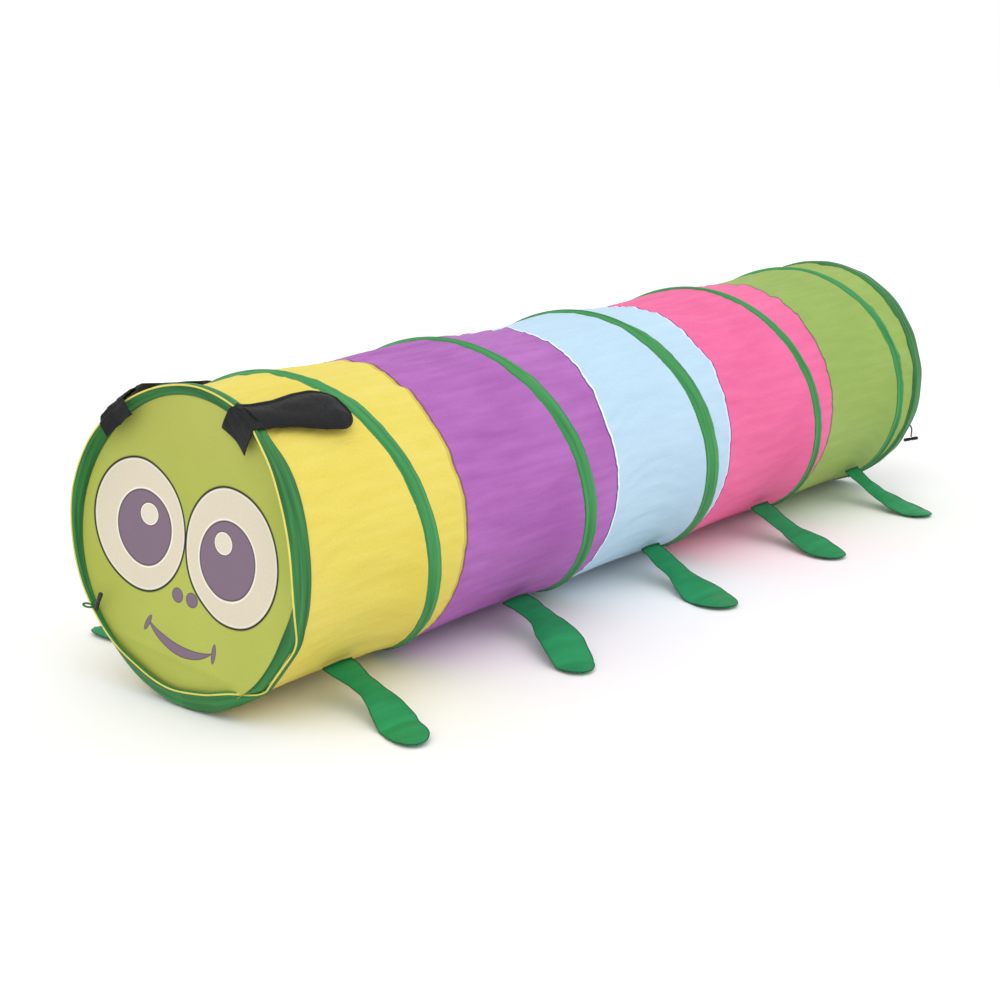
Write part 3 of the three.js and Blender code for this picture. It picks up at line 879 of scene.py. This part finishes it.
# %% Legs
STITCH_R = 0.231
LEG_STYLES = [
    # reach, lean along the tunnel, bend of the lean; half widths at root, neck and foot;
    # share of the reach where it lands, how fast it drops; degrees of the root from the bottom
    (0.212, -0.066, 2.3, 0.030, 0.0205, 0.0305, 0.70, 0.85, 40.5),
    (0.220, -0.112, 1.45, 0.031, 0.0225, 0.0345, 0.86, 0.62, 38.5),
    (0.214, -0.073, 1.25, 0.0265, 0.0225, 0.0385, 0.75, 1.5, 40.0),
    (0.206, -0.040, 1.3, 0.029, 0.0225, 0.034, 0.90, 1.6, 42.0),
    (0.190, -0.018, 1.2, 0.0245, 0.0195, 0.031, 0.85, 1.7, 43.5),
]
FAR_FRONT_LEG = (0.228, -0.020, 2.0, 0.030, 0.0205, 0.0265, 0.70, 0.85, 40.5)
BLUNT = 2.1  # the tip's outline is an ellipse a little squarer than a true one


def leg_surface(u, v, station, style, sign, seed):
    """Two layers of satin, from the stitching (v 0) to the tip (v 1), with u going round."""
    reach, lean, bend, root, neck, foot, lands, drop, under = style
    root_y = STITCH_R * math.sin(math.radians(under))
    root_z = AXIS_Z - STITCH_R * math.cos(math.radians(under))
    half = np.interp(v, [0, 0.08, 0.22, 0.36, 0.52, 0.66, 0.76],
                     [root, root * 0.93, neck * 1.03, neck, (neck + foot) / 2 + 0.002, foot, foot * 0.97])
    past = np.clip((v - 0.76) / 0.24, 0, 1)
    half = half * np.clip(1 - past**BLUNT, 0, 1) ** (1 / BLUNT) + 1e-5
    turn = u * 2 * math.pi
    side = np.cos(turn)
    out = reach * v
    sway = rough(np.stack([out, 0 * out, 0 * out + seed], -1), (11.0, 0, 1.0), seed + 2) * 0.007 * v
    middle = lean * v**bend + sway
    slope = np.clip(lean * bend * np.maximum(v, 0.02) ** (bend - 1) / reach, -1.2, 1.2)
    slope = slope * np.clip(v * 3, 0, 1)
    length = np.sqrt(1 + slope**2)
    ragged = 1 + 0.07 * rough(np.stack([out, np.sign(side), 0 * out + seed], -1), (30.0, 9.0, 1.0), seed)
    across = half * side * np.where(v > 0.05, ragged, 1)
    spread = np.stack([out, across, 0 * across + seed], -1)
    creases = rough(spread, (34.0, 20.0, 1.0), seed) * 0.0024
    creases = creases + rough(spread, (13.0, 18.0, 1.0), seed + 5) * 0.0060 * np.sin(v * math.pi)
    lens = np.sin(turn) * np.abs(np.sin(turn))
    puff = 0.0010 + 0.0030 * np.clip(v * 4, 0, 1) * np.clip((1 - v) * 8 + 0.3, 0, 1)
    down = np.clip(1 - v / lands, 0, 1) ** drop
    height = (root_z - 0.006) * down + np.maximum(0.0060 + creases, 0.0042) + puff * lens
    height = np.maximum(height + 0.10 * across * np.sin(v * math.pi), 0.0006)
    return np.stack([FRONT + station + middle + across / length,
                     sign * (root_y + out - slope * across / length), height], -1)


for side, sign in (("near", -1), ("far", 1)):
    for i, station in enumerate(STATIONS):
        seed = 3.1 * i + (0 if side == "near" else 17)
        style = FAR_FRONT_LEG if side == "far" and i == 0 else LEG_STYLES[i]

        def leg(u, v, style=style, station=station, sign=sign, seed=seed):
            return leg_surface(u, v, station, style, sign, seed)

        body = sheet(f"leg_{side}_{i + 1}_cloth", 40, 70, leg, (0.16, style[0]), closed=True)
        face_outward(body, fill=True)
        dress(body, leg_cloth)
        rows = np.linspace(0.0, 1.0, 60)
        edge = np.vstack([leg(np.zeros(60), rows), leg(np.full(60, 0.5), rows)[::-1][1:]])
        seam = tube_along(f"leg_{side}_{i + 1}_seam", edge, 0.0008, 6)
        dress(seam, edging_cloth)
        root_line = leg(np.linspace(0, 0.5, 24), np.full(24, 0.004))
        root_line = root_line + np.array([0, sign * 0.0006, 0.0012])
        root_seam = tube_along("root_seam", root_line, 0.0017, 6)
        dress(root_seam, edging_cloth)
        whole = join(f"leg_{side}_{i + 1}_cloth", [body, seam, root_seam])
        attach(whole, f"leg_{side}_{i + 1}")
        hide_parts(f"leg_{side}_{i + 1}")
        packs(whole)

# %% [markdown]
# ## The toggles
#
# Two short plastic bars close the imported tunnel. The front one is held by a loop of tape against
# the far side of the rim. The rear one hangs on a short cord.


# %% Toggles
def toggle_bar(name, node, body):
    """A turned bar with round ends and a waist for its cord, where the CAD bar lies."""
    low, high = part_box(node)
    middle = np.array((low + high) / 2)
    corners = np.array([v.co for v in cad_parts[node].data.vertices])
    direction = np.linalg.svd(corners - corners.mean(0), full_matrices=False)[2][0]
    radius, half = 0.0035, 0.017
    side = np.cross(direction, [1.0, 0, 0])
    side /= np.linalg.norm(side)
    up = np.cross(side, direction)

    def place(u, v):
        t = half * (2 * v - 1)
        past = np.clip(np.abs(t) - (half - radius), 0, None) / radius
        cap = np.sqrt(np.clip(1 - past**2, 0, 1))
        waist = 1 - 0.22 * np.exp(-(t / 0.0022) ** 2)
        r = radius * cap * waist
        a = u * 2 * math.pi
        return (middle + t[:, None] * direction + (r * np.cos(a))[:, None] * side
                + (r * np.sin(a))[:, None] * up)

    piece = sheet(name, 20, 40, place, (0.022, 0.034), closed=True)
    face_outward(piece, fill=False)
    dress(piece, toggle_plastic)
    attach(piece, body)
    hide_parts(node)
    return piece


toggle_bar("front_toggle", "front_toggle_bar", "front_toggle")
rear_bar = toggle_bar("rear_toggle", "rear_toggle_bar", "rear_toggle")

loop_low, loop_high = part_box("front_toggle_loop")
loop_middle = (loop_low + loop_high) / 2
loop_reach = Vector((0, (loop_high.y - loop_low.y) / 2 - 0.001, 0))
loop_gap = Vector((0.0030, 0, 0.0015))
loop_turns = np.linspace(0, 2 * math.pi, 41)[:-1]
loop_line = [loop_middle + loop_reach * math.cos(a) + loop_gap * math.sin(a) for a in loop_turns]
tape_loop = tube_along("front_toggle_tape", np.array([*loop_line, loop_line[0]]), 0.0016, 8, closed=True)
dress(tape_loop, rim_tape)
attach(tape_loop, "front_end")
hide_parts("front_toggle_loop")

# the cord's route in millimetres from where it leaves the rim
route = [(0, 0, 0), (3, 0, 0), (6.5, -1, -3), (8.5, -2.5, -10), (8.5, -2.5, -17), (8, -2, -26)]
exit_point = Vector((FRONT + LENGTH - 0.0012, -0.208, AXIS_Z - 0.093))
cord_points = [exit_point + Vector(p) * 0.001 for p in route]
fine_points = np.array([through([np.array([p]) for p in cord_points], np.array([t]))[0]
                        for t in np.linspace(0, 1, 40)])
cord = tube_along("rear_toggle_elastic", fine_points, 0.0015, 10)
dress(cord, black_piping)
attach(cord, "rear_toggle")
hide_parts("rear_toggle_cord")

# %% [markdown]
# ## Floor and light
#
# A plain pale floor and soft light from all round, with one wide, soft sun above the near side.

# %% Floor and light
bpy.ops.object.select_all(action="DESELECT")
bpy.ops.mesh.primitive_plane_add(size=40, location=(0, 0, -0.0005))
floor = bpy.context.object
floor.name = "floor"
floor_nodes = Nodes("pale_floor", 0.8, specular=0.2)
floor_nodes.shader.inputs["Base Color"].default_value = (0.93, 0.93, 0.93, 1)
dress(floor, floor_nodes.material)

world = bpy.data.worlds.new("soft_room")
bpy.context.scene.world = world
world.use_nodes = True
world.node_tree.nodes["Background"].inputs["Color"].default_value = (1.0, 1.0, 1.0, 1)
world.node_tree.nodes["Background"].inputs["Strength"].default_value = 1.0

sun_data = bpy.data.lights.new("soft_sun", "SUN")
sun_data.energy = 0.8
sun_data.angle = math.radians(70)
sun = bpy.data.objects.new("soft_sun", sun_data)
bpy.context.scene.collection.objects.link(sun)
sun.rotation_euler = Vector((0.35, 0.42, -1.0)).to_track_quat("-Z", "Y").to_euler()
bpy.context.scene.view_settings.view_transform = "Standard"
print("lit")
